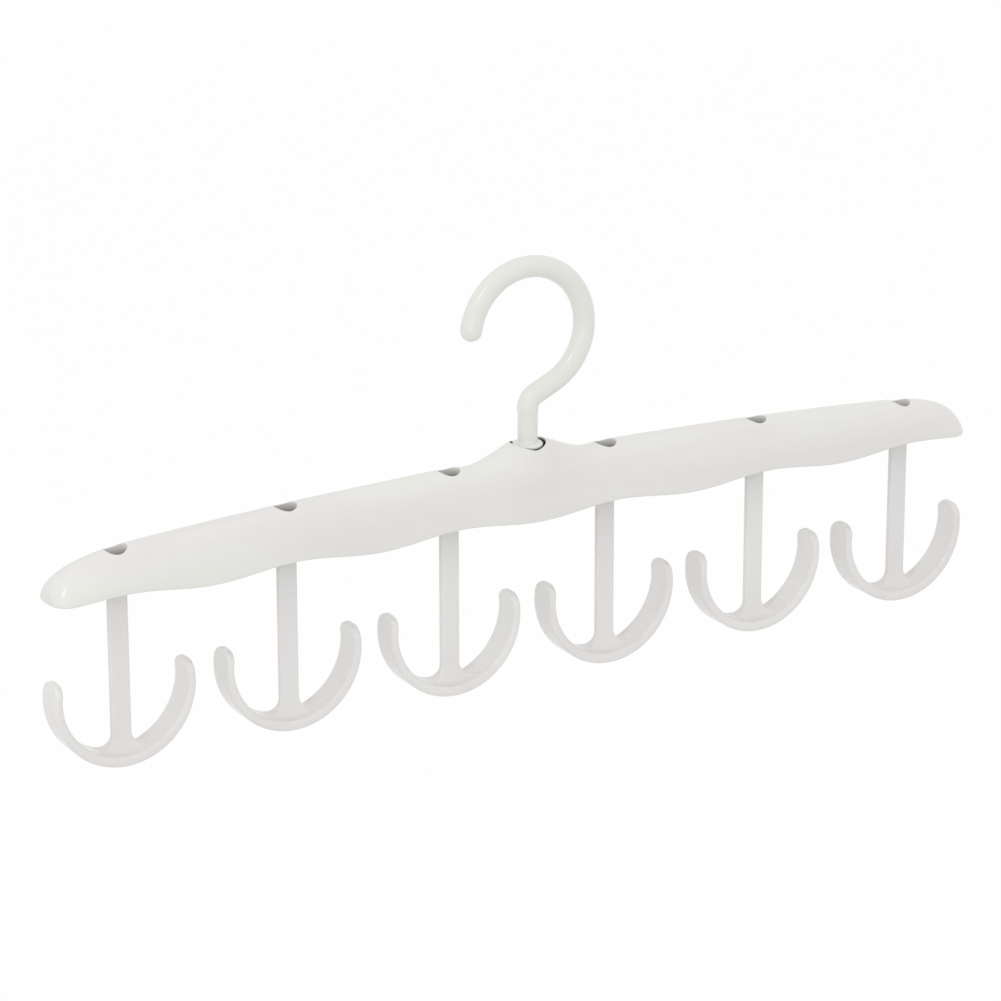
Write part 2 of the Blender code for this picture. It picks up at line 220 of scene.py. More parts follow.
leaveAngle = math.radians(railHook["leaveAngle"])
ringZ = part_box("rail_hook")[1].z - railHook["rodRadius"] - railHook["ringRadius"]
lowerX = railHook["ringRadius"] - railHook["lowerRadius"]
leaveX = lowerX + railHook["lowerRadius"] * math.cos(leaveAngle)
leaveZ = ringZ - railHook["lowerRadius"] * math.sin(leaveAngle)
shankTopZ = leaveZ - leaveX / math.tan(leaveAngle) - railHook["bendRadius"] * math.tan(leaveAngle / 2)
domeTopZ = shankTopZ - railHook["shankLength"]
collarTopZ = domeTopZ - railHook["collarDome"]
collarUnderZ = collarTopZ - railHook["collarHeight"]
socketFloorZ = collarUnderZ - gap


def hookPath():
    # arrays of x, z, heading and radius from the tip to the shank's top: a quarter circle for the rounded
    # tip, the ring's arc, a slightly smaller arc, a straight, and an arc into the shank
    tip = math.radians(railHook["tipAngle"])
    rod, ring = railHook["rodRadius"], railHook["ringRadius"]
    tipHeading = tip - quarterTurn
    turn = quarterTurn * np.arange(railHook["tipSteps"]) / railHook["tipSteps"]
    back = rod * np.cos(turn)
    cap = [ring * math.cos(tip) - back * math.cos(tipHeading),
           ringZ + ring * math.sin(tip) - back * math.sin(tipHeading),
           0 * turn + tipHeading, rod * np.sin(turn)]
    turn = np.linspace(tip, 0, railHook["ringPoints"])
    upper = [ring * np.cos(turn), ringZ + ring * np.sin(turn), turn - quarterTurn, 0 * turn + rod]
    turn = np.linspace(0, -leaveAngle, railHook["lowerPoints"])[1:]
    lowerRod = rod + (railHook["leaveRodRadius"] - rod) * ease(1 + turn / leaveAngle)
    lower = [lowerX + railHook["lowerRadius"] * np.cos(turn), ringZ + railHook["lowerRadius"] * np.sin(turn),
             turn - quarterTurn, lowerRod]
    turn = np.linspace(leaveAngle, 0, railHook["bendPoints"])
    bend = [railHook["bendRadius"] * (1 - np.cos(turn)), shankTopZ + railHook["bendRadius"] * np.sin(turn),
            -turn - quarterTurn, 0 * turn + railHook["leaveRodRadius"]]
    share = np.linspace(0, 1, railHook["straightPoints"])[1:-1]
    straight = [lower[at][-1] + (bend[at][0] - lower[at][-1]) * share for at in (0, 1, 2)]
    straight.append(0 * share + railHook["leaveRodRadius"])
    return [np.concatenate(parts) for parts in zip(cap, upper, lower, straight, bend)]


def hookFoot():
    # (radius, height) pairs from the shank's taper down: a half cosine taper, the straight shank, a quarter
    # circle fillet, a dome that is a quarter ellipse, the collar's side, the journal and the neck
    shank, collar, fillet = railHook["shankRadius"], railHook["collarRadius"], railHook["collarFillet"]
    neck, bevel, thinner = railHook["neckRadius"], railHook["bevel"], railHook["leaveRodRadius"] - shank
    taperZ = shankTopZ - railHook["shankTaper"]
    neckEndZ = socketUnderZ - capSizes["railCapHeight"] + capSizes["railCapRoof"]
    taper, down = evenShares(railHook["taperSteps"]), evenShares(railHook["shankSteps"])
    corner, side = quarterTurn * evenShares(railHook["filletSteps"]), evenShares(railHook["collarSteps"])
    dome = quarterTurn * evenShares(railHook["domeSteps"])
    lines = [
        [shank + thinner * ease(taper), shankTopZ - railHook["shankTaper"] * taper],
        [shank + 0 * down, taperZ + (domeTopZ + fillet - taperZ) * down],
        [shank + fillet * (1 - np.cos(corner)), domeTopZ + fillet * (1 - np.sin(corner))],
        [shank + fillet + (collar - shank - fillet) * np.sin(dome),
         collarTopZ + railHook["collarDome"] * np.cos(dome)],
        [collar + 0 * side, collarTopZ - (railHook["collarHeight"] - bevel) * side],
        [[collar - bevel, shank, shank, shank - bevel, neck, neck, neck - bevel, 0],
         [collarUnderZ, collarUnderZ, socketUnderZ + bevel, socketUnderZ, socketUnderZ, neckEndZ + bevel,
          neckEndZ, neckEndZ]],
    ]
    return np.concatenate([np.column_stack(line) for line in lines])


def makeRailHook():
    # each section is a circle across the path, less the parting line's height everywhere but in the ring's
    # own plane, where exp(-(distance / width) squared) leaves a fine raised seam
    x, z, heading, radius = hookPath()
    turn = fullTurn * np.arange(railHook["roundSteps"]) / railHook["roundSteps"]
    away = np.abs(np.sin(turn)) * railHook["rodRadius"]
    seam = railHook["partingHeight"] * np.exp(-(away / railHook["partingWidth"]) ** 2)
    seamShare = np.clip(radius / railHook["rodRadius"], 0, 1)[:, None] ** 4    # fades at the rounded tip
    reach = radius[:, None] + (seam[None] - railHook["partingHeight"]) * seamShare
    side, depth = reach * np.cos(turn), reach * np.sin(turn)
    rod = np.stack([x[:, None] - side * np.sin(heading)[:, None], depth,
                    z[:, None] + side * np.cos(heading)[:, None]], axis=-1)
    return buildPiece("railHook", [(np.concatenate([rod, turnedGrid(hookFoot(), turn)]), True, None)])


def collarPaintedShadeDepth(place):
    # depth below the top of the collar's upright side, inside the bar's socket, which sets the painted shade
    # there
    x, y, z = place.T
    outside = np.hypot(x, y) > railHook["collarRadius"] - railHook["paintedShadeReach"]
    inSocket = outside & (z < collarTopZ + railHook["collarDome"]) & (z > socketFloorZ)
    return np.where(inSocket, np.maximum(collarTopZ + railHook["paintedShadeStart"] - z, 0) * socketShade, 0)


# The bar: its outline as functions of x, all on arrays

barSizes = {
    "hooks": 6, "pitch": 0.070, "height": 0.0230, "fall": 0.0081, "wall": 0.0020, "scallop": 0.0014,
    "humpHeight": 0.0063, "humpFlat": 0.0013, "humpHalf": 0.0265, "humpSink": 0.0022,
    "humpDip": 0.00064, "humpDipEnd": 0.0336, "humpShoulder": 0.0120,
    "noseTop": 0.0366, "noseSide": 0.0104, "nosePower": 2.70,
    "power": 2.2, "humpPower": 3.1, "endPower": 1.62, "endRound": 0.0636,
    "holeRadius": 0.00435, "holeRound": 0.0004, "holePatch": 0.0070, "bossWall": 0.0016, "bossEdge": 0.0003,
    "socketGap": 0.0010, "socketRound": 0.0004, "socketWall": 0.0018, "socketFloor": 0.0027,
    "socketFlat": 0.0070, "bearingRise": 0.0060, "bearingFloor": 0.0025, "ribWall": 0.0016,
    "lipRound": 0.0007, "noseRoom": 0.008, "noseSteps": 18, "stationLength": 0.0011, "patchSteps": 16,
    "sideColumns": 18, "lipSteps": 5, "collarSteps": 7, "rimSteps": 7, "liningSteps": 4, "ribPoints": 40,
    # the last two below bound the painted shade that darkens the holes
    "ribLeast": 0.0001, "paintedShadeMargin": 0.00002, "paintedShadeLeast": 0.001,
}
# the blocks that are cut out of the shell's outside and inside round the socket
socketPatch = {
    "half": 0.01152, "beforeRows": 12, "outerRows": 24, "outerSide": 2, "innerRows": 20, "innerSide": 4,
    "outerEdge": 0.0084, "innerEdge": 0.0075, "nextColumn": 1.04,
}

socketUnderZ = socketFloorZ - barSizes["socketFloor"]
crownZ = collarTopZ + barSizes["humpSink"] - barSizes["humpHeight"]
edgeZ = crownZ - barSizes["height"]
bearingUnderZ = edgeZ + barSizes["bearingRise"]
bearingTopZ = bearingUnderZ + barSizes["bearingFloor"]
outerHookX = barSizes["pitch"] * (barSizes["hooks"] - 1) / 2
hookPlaces = [barSizes["pitch"] * number - outerHookX for number in range(barSizes["hooks"])]
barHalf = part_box("bar_shell")[1].x
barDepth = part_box("bar_shell")[1].y
noseStart = outerHookX + barSizes["noseRoom"]
bossRadius = barSizes["holeRadius"] + barSizes["bossWall"]
socketRadius = railHook["collarRadius"] + barSizes["socketGap"]
socketBoss = socketRadius + barSizes["socketWall"]


def lowerEdge(x):
    # a cosine wave that is highest over each hook and eases out to the mean edge beyond the outer hooks
    away = np.abs(x)
    wave = np.cos(fullTurn * (away - outerHookX) / barSizes["pitch"])
    out = easeAway(x, outerHookX, barHalf)
    return edgeZ + barSizes["scallop"] * np.where(away < outerHookX, wave, out)


def roundOff(x, length, inset):
    # falls from one to zero over the length before the bar's end, as a superellipse
    share = np.clip((np.abs(x) - barHalf + length) / (length - inset), 0, 1)
    return (1 - share ** barSizes["nosePower"]) ** (1 / barSizes["nosePower"])


def humpRise(x):
    # a cosine hump in the middle, less a cosine dip that is deepest at the hump's foot
    dip, foot = barSizes["humpDip"], barSizes["humpHalf"]
    hump = (barSizes["humpHeight"] + dip) * easeAway(x, barSizes["humpFlat"], foot)
    return hump - dip * easeAway(x, foot, barSizes["humpDipEnd"])


def ridge(x, inset):
    # a parabola that is lower at the ends, rounded off there, with the hump on it
    line = crownZ - barSizes["fall"] * (x / barHalf) ** 2 - inset
    return edgeZ + (line - edgeZ) * roundOff(x, barSizes["noseTop"], inset) + humpRise(x)


def halfDepth(x, inset):
    # half the bar's depth less the inset, rounded off at the ends
    return (barDepth - inset) * roundOff(x, barSizes["noseSide"], inset)


def barPoint(x, share, inset, lift):
    # a point of the bar's outline at x: share is its place across, -1 to 1, on a superellipse whose foot is
    # lifted over the lower edge; its power is highest at the hump's top and lowest at the ends
    low = lowerEdge(x) + lift
    rise = np.maximum(ridge(x, inset) - low, 0)
    squareness = easeAway(x, barSizes["humpFlat"], barSizes["humpShoulder"])
    flatness = easeAway(x, barHalf - barSizes["endRound"], barHalf)
    power = barSizes["endPower"] + (barSizes["power"] - barSizes["endPower"]) * flatness
    power = power + (barSizes["humpPower"] - barSizes["power"]) * squareness
    up = (1 - np.clip(np.abs(share), 0, 1) ** power) ** (1 / power)
    return np.stack([x + 0 * share, halfDepth(x, inset) * share, low + rise * up], axis=-1)


def toShare(turn):
    # share across from an angle, |sin| to the power 2 / power, which keeps the sides as fine as the top
    return np.sign(turn) * np.abs(np.sin(turn)) ** (2 / barSizes["power"])


def toTurn(share):
    # the angle that toShare turns into this share
    return np.sign(share) * np.arcsin(np.clip(np.abs(share), 0, 1) ** (barSizes["power"] / 2))


def barStations():
    # places along the bar: even in each patch round a hole, even between patches
    stops = [(-noseStart, 1)]    # where each run ends and how many steps it has
    for x in hookPlaces:
        if x > 0 and stops[-1][0] < 0:
            stops.append((-socketPatch["half"], socketPatch["beforeRows"]))
            stops.append((socketPatch["half"], socketPatch["outerRows"]))
        near = x - barSizes["holePatch"]
        stops.append((near, max(round((near - stops[-1][0]) / barSizes["stationLength"]), 1)))
        stops.append((x + barSizes["holePatch"], barSizes["patchSteps"]))
    stops.append((noseStart, 1))
    places = [np.array([-noseStart])]
    for (low, _), (high, steps) in zip(stops, stops[1:]):
        places.append(np.linspace(low, high, steps + 1)[1:])
    return np.concatenate(places)


def stationX(base, nose, inset):
    # real place of a station for a surface that lies the inset further in: nose is its share of the way
    # from noseStart to the end
    return base + np.sign(base) * nose * (barHalf - noseStart - inset)


def barColumns():
    # one closed loop round the shell: outside from back to front, lip, inside, lip; a lip is two quarter
    # circles, as insets 1 - cos and lifts 1 - sin
    wall, lip, steps = barSizes["wall"], barSizes["lipRound"], barSizes["patchSteps"]
    outerEdge, socketEdge = barSizes["holePatch"] / barDepth, socketPatch["outerEdge"] / barDepth
    innerEdge = socketPatch["innerEdge"] / (barDepth - wall)
    outerSide = toShare(np.linspace(toTurn(outerEdge), quarterTurn, barSizes["sideColumns"]))[1:]
    innerSide = toShare(np.linspace(toTurn(innerEdge), quarterTurn, socketPatch["innerSide"] + 1))[1:]
    outerSide = np.concatenate([[(outerEdge + socketEdge) / 2, socketEdge],
                                outerSide[outerSide > socketEdge * socketPatch["nextColumn"]]])
    outer = np.concatenate([-outerSide[::-1], np.linspace(-outerEdge, outerEdge, steps + 1), outerSide])
    inner = np.concatenate([innerSide[::-1], np.linspace(innerEdge, -innerEdge, steps + 1), -innerSide])
    turns = quarterTurn * evenShares(barSizes["lipSteps"])
    outInset, outLift = lip * (1 - np.cos(turns)), lip * (1 - np.sin(turns))
    lipInset = np.concatenate([outInset, wall - outInset[::-1]])
    lipLift = np.concatenate([outLift, outLift[::-1]])
    shares = np.concatenate([outer, np.ones(len(lipInset)), inner, -np.ones(len(lipInset))])
    insets = np.concatenate([0 * outer, lipInset, 0 * inner + wall, lipInset[::-1]])
    lifts = np.concatenate([0 * outer + lip, lipLift, 0 * inner + lip, lipLift[::-1]])
    return shares, insets, lifts, len(outerSide), len(outer) + len(lipInset) + len(innerSide)


def rimOrder(rows, columns):
    # walks round a block of grid points: along the rows, across, back and across again
    first = [(row, 0) for row in range(rows)]
    second = [(rows, column) for column in range(columns)]
    third = [(row, columns) for row in range(rows, 0, -1)]
    fourth = [(0, column) for column in range(columns, 0, -1)]
    walk = np.array(first + second + third + fourth)
    return walk[:, 0], walk[:, 1]


def bossRing(radius, flat, angles, x):
    # plan of a boss: a circle with two sides cut flat where the bar's walls stand
    return x + radius * np.cos(angles), np.clip(radius * np.sin(angles), -flat, flat)


def patchGrid(rimX, rimShare, holeX, radius, flat, inset, angles):
    # a collar of surface between a block's rim and a round hole in it: each spoke runs from a rim point to
    # a hole point, evenly in x and in the angle that stands for the share across
    ringX, ringY = bossRing(radius, flat, angles, holeX)
    spoke = np.linspace(0, 1, barSizes["collarSteps"] + 1)[:, None]
    x = rimX + (ringX - rimX) * spoke
    turn = toTurn(rimShare) + (toTurn(ringY / halfDepth(ringX, inset)) - toTurn(rimShare)) * spoke
    return barPoint(x, toShare(turn), inset, barSizes["lipRound"])


def holeGrid(rim, hole, angles):
    # a lined hole: the rim rounds over by a quarter circle, the wall drops to the bore's (radius, height)
    # points, and the boss outside climbs to the underside of the roof
    holeX, edge, lift, wall = hole["x"], hole["round"], barSizes["lipRound"], barSizes["wall"]
    turns = quarterTurn * evenShares(barSizes["rimSteps"])[:, None]
    around = hole["radius"] + edge * (1 - np.sin(turns))
    x = holeX + around * np.cos(angles)
    y = around * np.sin(angles)
    top = barPoint(x, y / halfDepth(x, 0), 0, lift)
    top[..., 2] -= edge * (1 - np.cos(turns))
    steps = [top[-1]] + [circleRing(radius, height, angles, holeX) for radius, height in hole["bore"]]
    for radius, height in hole["foot"]:
        bossX, bossY = bossRing(radius, hole["flat"] + radius - hole["bossRadius"], angles, holeX)
        steps.append(np.stack([bossX, bossY, 0 * bossX + height], axis=-1))
    bossX, bossY = bossRing(hole["bossRadius"], hole["flat"], angles, holeX)
    steps.append(barPoint(bossX, bossY / halfDepth(bossX, wall), wall, lift))
    rings = [rim[None], top]
    for near, far in zip(steps, steps[1:]):
        rings.append(levelRings(near, far, barSizes["liningSteps"]))
    return np.concatenate(rings)


def linedHole(keep, xBase, shares, outerBlock, innerBlock, hole):
    # both collars and the lining of one hole; a block (first row, last row, first column, last column) is
    # cut out of the shell by the keep mask, and its rim is matched to the hole's ring point by point
    grids = []
    mouth = hole["radius"] + hole["round"]
    for block, inset, radius, flat in ((outerBlock, 0, mouth, mouth),
                                       (innerBlock, barSizes["wall"], hole["bossRadius"], hole["flat"])):
        firstRow, lastRow, firstColumn, lastColumn = block
        rowWalk, columnWalk = rimOrder(lastRow - firstRow, lastColumn - firstColumn)
        keep[firstRow:lastRow, firstColumn:lastColumn] = False
        turn = fullTurn * (np.arange(len(rowWalk)) - (lastRow - firstRow) / 2) / len(rowWalk)
        angles = np.sign(shares[firstColumn]) * (quarterTurn - turn)
        rimX, rimShare = xBase[firstRow + rowWalk], shares[firstColumn + columnWalk]
        patch = patchGrid(rimX, rimShare, hole["x"], radius, flat, inset, angles)
        grids.append((patch, True, None))
        if inset == 0:
            grids.append((holeGrid(patch[-1], hole, angles), True, None))
    return grids


def ribBlock(low, high, along):
    # a thin rib under the roof: a level bottom and a top that follows half way into the roof's wall;
    # low and high are its ends, along tells whether it runs along the bar or across it
    half, inset = barSizes["ribWall"] / 2, barSizes["wall"] / 2
    steps = np.linspace(0, 1, barSizes["ribPoints"])
    if along:
        x = low + (high - low) * steps
        y = 0 * x
        side = (0, half)
    else:
        x = 0 * steps + low
        y = halfDepth(x, inset) * toShare(quarterTurn * (2 * steps - 1))
        side = (half, 0)
    z = barPoint(x, y / halfDepth(x, inset), inset, barSizes["lipRound"])[:, 2]
    z = np.maximum(z, bearingUnderZ + barSizes["ribLeast"])
    bottom = 0 * z + bearingUnderZ
    rows = []
    for sign, height in ((-1, z), (-1, bottom), (1, bottom), (1, z), (-1, z)):
        rows.append(np.stack([x + sign * side[0], y + sign * side[1], height], axis=-1))
    grid = np.stack(rows)
    ends = [np.stack([grid[[0, 1], end], grid[[3, 2], end]]) for end in (0, -1)]
    return [(grid, False, None), (ends[0], False, None), (ends[1], False, None)]


def boredHole(x, radius, rounding, boss, flat, floorZ, underZ, bore):
    # one hole's levels: down to the floor, through the bore, and the boss with a small edge at its foot
    edge = barSizes["bossEdge"]
    return {"x": x, "radius": radius, "round": rounding, "bossRadius": boss, "flat": flat,
            "bore": [(radius, floorZ), (bore, floorZ), (bore, underZ)],
            "foot": [(boss - edge, underZ), (boss, underZ + edge)]}


def joinRibs(bar):
    # ribs from boss to boss, and one across between two hooks wherever the hump leaves room
    stops = sorted([(x, barSizes["holeRadius"] + barSizes["bossWall"] / 2) for x in hookPlaces]
                   + [(0.0, socketRadius + barSizes["socketWall"] / 2)])
    ribs = []
    for (left, leftRoom), (right, rightRoom) in zip(stops, stops[1:]):
        ribs.append(buildPiece("rib", ribBlock(left + leftRoom, right - rightRoom, True)))
    for left, right in zip(hookPlaces, hookPlaces[1:]):
        x = (left + right) / 2
        if abs(x) > barSizes["humpHalf"]:
            ribs.append(buildPiece("rib", ribBlock(x, x, False)))
    for rib in ribs:
        union = bar.modifiers.new(rib.name, "BOOLEAN")
        union.operation = "UNION"
        union.solver = "EXACT"
        union.object = rib
    bpy.context.view_layer.update()
    whole = bpy.data.meshes.new_from_object(bar.evaluated_get(bpy.context.evaluated_depsgraph_get()))
    bar.modifiers.clear()
    bar.data = whole
    whole.name = "barShell"
    for rib in ribs:
        bpy.data.objects.remove(rib, do_unlink=True)
    print("barShell with its ribs:", len(whole.polygons), "faces")


def makeBar():
    # the shell is barPoint over all stations and columns, with a lined hole let in over each hook and a
    # socket in the hump; stations close in on the ends by a sine
    noseSteps, steps, patch = barSizes["noseSteps"], barSizes["patchSteps"], socketPatch
    base, nose = barStations(), np.sin(quarterTurn * evenShares(noseSteps))
    xBase = np.concatenate([np.full(noseSteps, -noseStart), base, np.full(noseSteps, noseStart)])
    noseShare = np.concatenate([nose[::-1], 0 * base, nose])
    shares, insets, lifts, outer, inner = barColumns()
    x = stationX(xBase[:, None], noseShare[:, None], insets[None])
    keep = np.ones((len(xBase) - 1, len(shares)), bool)
    grids = [(barPoint(x, shares[None] + 0 * x, insets[None] + 0 * x, lifts[None]), True, keep)]
    for holeX in hookPlaces:
        row = int(np.argmin(np.abs(xBase - holeX + barSizes["holePatch"])))
        hole = boredHole(holeX, barSizes["holeRadius"], barSizes["holeRound"], bossRadius, bossRadius,
                         bearingTopZ, bearingUnderZ, doubleHook["pegRadius"] + gap)
        grids += linedHole(keep, xBase, shares, (row, row + steps, outer, outer + steps),
                           (row, row + steps, inner, inner + steps), hole)
    middle = int(np.argmin(np.abs(xBase)))
    socket = boredHole(0.0, socketRadius, barSizes["socketRound"], socketBoss, barSizes["socketFlat"],
                       socketFloorZ, socketUnderZ, railHook["shankRadius"] + gap)
    blocks = [(middle - rows // 2, middle + rows // 2, column - side, column + steps + side)
              for rows, column, side in ((patch["outerRows"], outer, patch["outerSide"]),
                                         (patch["innerRows"], inner, patch["innerSide"]))]
    grids += linedHole(keep, xBase, shares, *blocks, socket)
    bar = buildPiece("barShell", grids)
    joinRibs(bar)
    return bar


def barPaintedShadeDepth(place):
    # depth below the roof's outside within each hole, down to its floor, which sets the painted shade there;
    # nothing elsewhere
    x, y, z = place.T
    across = np.clip(y / np.maximum(halfDepth(x, 0), barSizes["paintedShadeLeast"]), -1, 1)
    below = np.maximum(barPoint(x, across, 0, barSizes["lipRound"])[:, 2] - z, 0)
    margin = barSizes["paintedShadeMargin"]
    inside = np.zeros(len(x), bool)
    for holeX in hookPlaces:
        inside |= (np.hypot(x - holeX, y) < barSizes["holeRadius"] + margin) & (z > bearingTopZ - margin)
    socket = (np.hypot(x, y) < socketRadius + margin) & (z > socketFloorZ - margin)
    return np.where(inside, below, 0) + np.where(socket, below * socketShade, 0)


# The double hooks: a strap bent into a half ring with two arms, a flat stem and a peg

doubleHook = {
    "radius": 0.02858, "thickness": 0.0031, "middleThickness": 0.0042, "width": 0.0128, "edge": 0.0014,
    "armLean": 6.0,    # degrees
    "armRise": 0.0081, "tipLength": 0.0050, "thinEdge": 0.95, "drop": 0.0672,
    "stemWidth": 0.0080, "stemThickness": 0.0024, "stemEdge": 0.0008, "flare": 0.0076, "flareRoom": 0.0004,
    "pegRadius": 0.0026, "pegRoot": 0.0050, "pegSwell": 0.0015, "pegNeck": 0.0020, "shoulder": 0.0003,
    "faceColumns": 12, "edgeColumns": 6, "sideColumns": 2, "tipSteps": 14, "armSteps": 7, "ringSteps": 23,
    "footSteps": 32, "flareSteps": 16, "stemSteps": 23, "swellSteps": 7, "rootSteps": 3, "anglePasses": 4,
}
stemTopZ = bearingUnderZ - gap
hookLowZ = edgeZ - doubleHook["drop"]
strapZ = hookLowZ + doubleHook["radius"]


def strapSection(halfWidth, halfThickness):
    # a rectangle with quarter circle corners, walked from the inner face's back edge; the sizes are arrays,
    # one a station, and the second half of the walk is the first half turned round
    edge = doubleHook["edge"] * halfThickness / (doubleHook["thickness"] / 2)
    edge = np.minimum(np.minimum(edge, halfWidth), halfThickness * doubleHook["thinEdge"])
    edge = np.minimum(edge, doubleHook["edge"])
    flat, side = halfWidth - edge, halfThickness - edge
    face = np.linspace(-1, 1, doubleHook["faceColumns"] + 1)[:, None]
    turn = quarterTurn * evenShares(doubleHook["edgeColumns"])[:, None]
    rise = np.linspace(-1, 1, doubleHook["sideColumns"] + 1)[1:, None]
    across = np.concatenate([flat * face, flat + edge * np.sin(turn), halfWidth + 0 * rise,
                             flat + edge * np.cos(turn)])
    out = np.concatenate([0 * face - halfThickness, -side - edge * np.cos(turn), side * rise,
                          side + edge * np.sin(turn)])
    return [np.concatenate([half, -half[1:-1]]).T for half in (across, out)]


def strapThickness(angle):
    # the arms' thickness, and more in proportion to -sin(angle) down to the lowest point
    extra = doubleHook["middleThickness"] - doubleHook["thickness"]
    return doubleHook["thickness"] + extra * np.maximum(-np.sin(angle), 0)


def strapStations(footAngle):
    # middle points, outward directions, half widths and half thicknesses, from the right tip to the left:
    # leaning arms with rounded tips, and between them a half ring of one outer radius
    lean = math.radians(doubleHook["armLean"])
    half, halfWidth = doubleHook["thickness"] / 2, doubleHook["width"] / 2
    reach = doubleHook["radius"] - half
    length = (doubleHook["armRise"] - reach * math.sin(lean)) / math.cos(lean)
    turn = quarterTurn * np.arange(doubleHook["tipSteps"] + 1) / doubleHook["tipSteps"]
    down = doubleHook["tipLength"] * (1 - np.cos(turn))
    thin = np.minimum(down / half, 1)
    armUp = np.linspace(length - down[-1], 0, doubleHook["armSteps"] + 1)[1:-1]
    up = np.concatenate([length - down, armUp])
    width = np.concatenate([halfWidth * np.sin(turn), 0 * armUp + halfWidth])
    thick = np.concatenate([half * np.sqrt(thin * (2 - thin)), 0 * armUp + half])
    arm = [reach * math.cos(lean) - up * math.sin(lean),
           strapZ + reach * math.sin(lean) + up * math.cos(lean), 0 * up + lean, width, thick]
    before, after = -quarterTurn + footAngle, -quarterTurn - footAngle
    angle = np.concatenate([np.linspace(lean, before, doubleHook["ringSteps"] + 1),
                            np.linspace(before, after, doubleHook["footSteps"] + 1)[1:],
                            np.linspace(after, -math.pi - lean, doubleHook["ringSteps"] + 1)[1:]])
    ringHalf = strapThickness(angle) / 2
    ringReach = doubleHook["radius"] - ringHalf
    ring = [ringReach * np.cos(angle), strapZ + ringReach * np.sin(angle), angle,
            0 * angle + halfWidth, ringHalf]
    left = [-arm[0][::-1], arm[1][::-1], -math.pi - arm[2][::-1], arm[3][::-1], arm[4][::-1]]
    return [np.concatenate(parts) for parts in zip(arm, ring, left)], len(up) + doubleHook["ringSteps"]


def stemSection(a, b):
    # the stem's rounded rectangle, from points (a, b) on the rim of the unit square: each is pulled to the
    # edge radius round the rectangle that is smaller by that radius
    half = np.array([doubleHook["stemWidth"] / 2, doubleHook["stemThickness"] / 2])
    edge = doubleHook["stemEdge"]
    point = np.stack([a, b], axis=-1) * half
    core = np.clip(point, -(half - edge), half - edge)
    away = point - core
    length = np.maximum(np.linalg.norm(away, axis=-1, keepdims=True), meshTools["shortest"])
    return core + edge * away / length


def innerReach(angle):
    # the strap's inner radius at an angle from straight down
    return doubleHook["radius"] - strapThickness(angle - quarterTurn)


def flareGrid(rimAngle, rimY, stem, flareTopZ):
    # plan places go from the rim to the stem by a sine, and the height climbs by one less a cosine
    stemAngle = 0 * stem[:, 0]
    for _ in range(doubleHook["anglePasses"]):
        stemAngle = np.arcsin(stem[:, 0] / innerReach(stemAngle))
    turn = quarterTurn * (np.arange(doubleHook["flareSteps"] + 1) / doubleHook["flareSteps"])[:, None]
    angle = rimAngle + (stemAngle - rimAngle) * np.sin(turn)
    floorX, floorZ = innerReach(angle) * np.sin(angle), strapZ - innerReach(angle) * np.cos(angle)
    y = rimY + (stem[:, 1] - rimY) * np.sin(turn)
    return np.stack([floorX, y, floorZ + (flareTopZ - floorZ) * (1 - np.cos(turn))], axis=-1)


def stemGrid(stem, flareTopZ):
    # the stem goes up flat, swells by a half cosine to the peg's radius near its top, and ends in a level
    # shoulder; then the peg and its neck
    peg, neck, shoulder = doubleHook["pegRadius"], doubleHook["pegNeck"], doubleHook["shoulder"]
    rootZ = stemTopZ - doubleHook["pegRoot"]
    swellZ = rootZ + doubleHook["pegSwell"]
    levels = np.concatenate([np.linspace(flareTopZ, rootZ, doubleHook["stemSteps"] + 1)[1:],
                             np.linspace(rootZ, swellZ, doubleHook["swellSteps"] + 1)[1:],
                             np.linspace(swellZ, stemTopZ - shoulder, doubleHook["rootSteps"] + 1)[1:]])
    swell = (1 - ease((levels - rootZ) / doubleHook["pegSwell"]))[:, None]
    scale = 1 + (np.maximum(peg / np.linalg.norm(stem, axis=-1), 1) - 1) * swell
    shaft = np.stack([stem[:, 0] * scale, stem[:, 1] * scale, levels[:, None] + 0 * scale], axis=-1)
    plan = shaft[-1, :, :2]
    inwards = 1 - shoulder / np.linalg.norm(plan, axis=-1, keepdims=True)
    top = np.concatenate([plan * inwards, 0 * inwards + stemTopZ], axis=-1)
    neckEndZ = bearingTopZ + capSizes["stemCapHeight"] - capSizes["stemCapRoof"]
    profile = [(peg, stemTopZ), (peg, (stemTopZ + bearingTopZ) / 2), (peg, bearingTopZ), (neck, bearingTopZ),
               (neck, neckEndZ - shoulder), (neck - shoulder, neckEndZ), (0.0, neckEndZ)]
    return np.concatenate([shaft, top[None], turnedGrid(profile, np.arctan2(stem[:, 1], stem[:, 0]))])


def doubleHookGrids():
    # the strap is its section carried along the stations; a block of its inner face is cut out, and the
    # flare, stem and peg grow from that block's rim
    foot, columns = doubleHook["footSteps"], doubleHook["faceColumns"]
    footReach = doubleHook["stemWidth"] / 2 + doubleHook["flare"] + doubleHook["flareRoom"]
    footAngle = math.asin(footReach / (doubleHook["radius"] - doubleHook["middleThickness"]))
    (x, z, angle, halfWidth, halfThickness), firstRow = strapStations(footAngle)
    across, out = strapSection(halfWidth, halfThickness)
    strap = np.stack([x[:, None] + out * np.cos(angle)[:, None], across,
                      z[:, None] + out * np.sin(angle)[:, None]], axis=-1)
    keep = np.ones((len(x) - 1, strap.shape[1]), bool)
    keep[firstRow:firstRow + foot, :columns] = False
    rowWalk, columnWalk = rimOrder(foot, columns)
    stem = stemSection(-(2 * rowWalk / foot - 1), 2 * columnWalk / columns - 1)
    flareTopZ = hookLowZ + doubleHook["middleThickness"] + doubleHook["flare"]
    rimAngle, rimY = angle[firstRow + rowWalk] + quarterTurn, strap[firstRow, columnWalk, 1]
    flare = flareGrid(rimAngle, rimY, stem, flareTopZ)
    return [(strap, True, keep), (np.concatenate([flare, stemGrid(stem, flareTopZ)]), True, None)]


